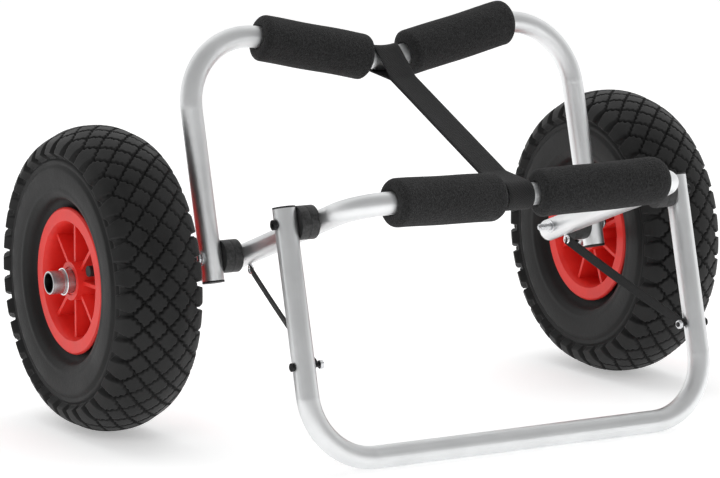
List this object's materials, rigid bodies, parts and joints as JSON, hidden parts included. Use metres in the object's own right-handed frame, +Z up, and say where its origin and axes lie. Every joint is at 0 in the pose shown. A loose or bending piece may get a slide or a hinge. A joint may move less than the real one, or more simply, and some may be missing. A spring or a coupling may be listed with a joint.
{
  "type": "folding boat trolley",
  "caption": "Folding two-wheel trolley for carrying a canoe or kayak: crossed bent-tube bows with foam pads, limiting strap, kick-stand and pneumatic wheels.",
  "frame": {"origin": "on the ground under the middle of the trolley's bounding box, midway between the two wheels", "axes": "+X along the wheel axle, +Y towards the rear (the upright bow), +Z up; the kick-stand is at -Y"},
  "size_m": [0.622, 0.3994, 0.3489],
  "materials": {
    "tube": "satin anodised",
    "plug": "moulded",
    "foam": "closed-cell foam, fine grain",
    "webbing": "woven polypropylene",
    "saddle": "moulded, fine texture",
    "carrier": "welded bar, satin",
    "axle": "turned",
    "wire": "bright spring wire",
    "fastener": "zinc plated",
    "black_bolt": "black oxide",
    "tyre": "matt rubber",
    "tube_rubber": "smooth rubber",
    "rim": "moulded, half gloss",
    "bush": "moulded, same red as the rim"
  },
  "bodies": {
    "rear_frame": {"rear_tube": "tube", "rear_end_plugs": "plug", "rear_pad_left": "foam", "rear_pad_right": "foam", "limit_strap": "webbing", "rear_saddles": "saddle", "axle_carriers": "carrier", "stub_axles": "axle", "axle_collars": "axle", "retaining_rings": "wire"},
    "front_frame": {"front_tube": "tube", "front_end_plugs": "plug", "front_pad_left": "foam", "front_pad_right": "foam", "front_saddles": "saddle", "pivot_bolts": "fastener", "pivot_washers": "fastener", "pivot_insert_nuts": "fastener", "stand_inner_saddles": "saddle", "stand_pivot_bolts": "black_bolt", "stand_pivot_nuts": "fastener", "stay_left": "webbing", "stay_right": "webbing", "stay_eyes": "wire"},
    "stand": {"stand_tube": "tube", "stand_end_plugs": "plug", "stand_outer_saddles": "saddle", "stay_bolts": "black_bolt", "stay_nuts": "fastener"},
    "wheel_left": {"tyre_left": "tyre", "inner_tube_left": "tube_rubber", "rim_left": "rim", "hub_bushes_left": "bush", "valve_left": "tube_rubber", "valve_cap_left": "plug"},
    "wheel_right": {"tyre_right": "tyre", "inner_tube_right": "tube_rubber", "rim_right": "rim", "hub_bushes_right": "bush", "valve_right": "tube_rubber", "valve_cap_right": "plug"}
  },
  "joints": [
    {"name": "bow_fold", "type": "hinge", "parent": "rear_frame", "child": "front_frame", "pos_m": [0, 0.00217, 0.1517], "axis": [-1, 0, 0], "range_deg": [0, 70], "deforming": ["limit_strap"]},
    {"name": "stand_fold", "type": "hinge", "parent": "front_frame", "child": "stand", "pos_m": [0, -0.12728, 0.19805], "axis": [1, 0, 0], "range_deg": [0, 68], "deforming": ["stay_left", "stay_right"]},
    {"name": "wheel_left_spin", "type": "hinge", "parent": "rear_frame", "child": "wheel_left", "pos_m": [-0.2625, 0.06967, 0.13], "axis": [1, 0, 0], "continuous": true},
    {"name": "wheel_right_spin", "type": "hinge", "parent": "rear_frame", "child": "wheel_right", "pos_m": [0.2625, 0.06967, 0.13], "axis": [1, 0, 0], "continuous": true}
  ]
}
